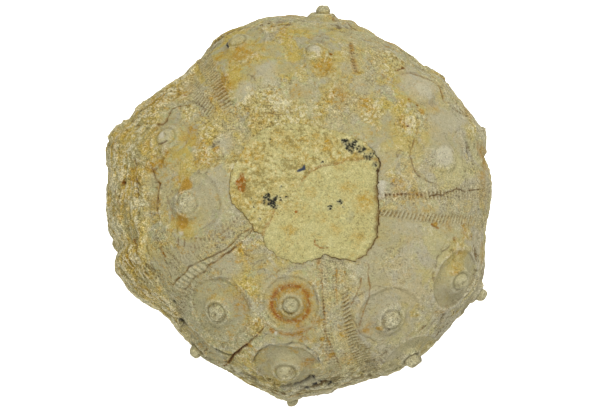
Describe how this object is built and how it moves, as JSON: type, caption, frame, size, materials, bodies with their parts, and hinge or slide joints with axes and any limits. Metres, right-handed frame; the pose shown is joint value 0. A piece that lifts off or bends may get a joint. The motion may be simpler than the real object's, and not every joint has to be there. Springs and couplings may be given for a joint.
{
  "type": "fossil sea urchin",
  "caption": "Fossil cidaroid sea urchin shell: a flattened ball with knobbed spine bosses and pore bands, filled with rock, resting flat on its mouth side.",
  "frame": {"origin": "centre of the object's box at its base, on the worn flat of the rock fill that it rests on", "axes": "+Z along the shell's pole axis, out of the upper (spire) hole; -Y towards the side with the best-kept bosses; +X towards the flat, striped band side opposite the rock crust"},
  "size_m": [0.0442, 0.0452, 0.0297],
  "materials": {
    "shell_calcite": "matt, weathered, buff calcite with ochre iron stains",
    "fill_limestone": "matt, fine-grained yellow limestone with black manganese specks"
  },
  "bodies": {
    "root": {"test": "shell_calcite", "sediment_fill": "fill_limestone"}
  },
  "joints": []
}
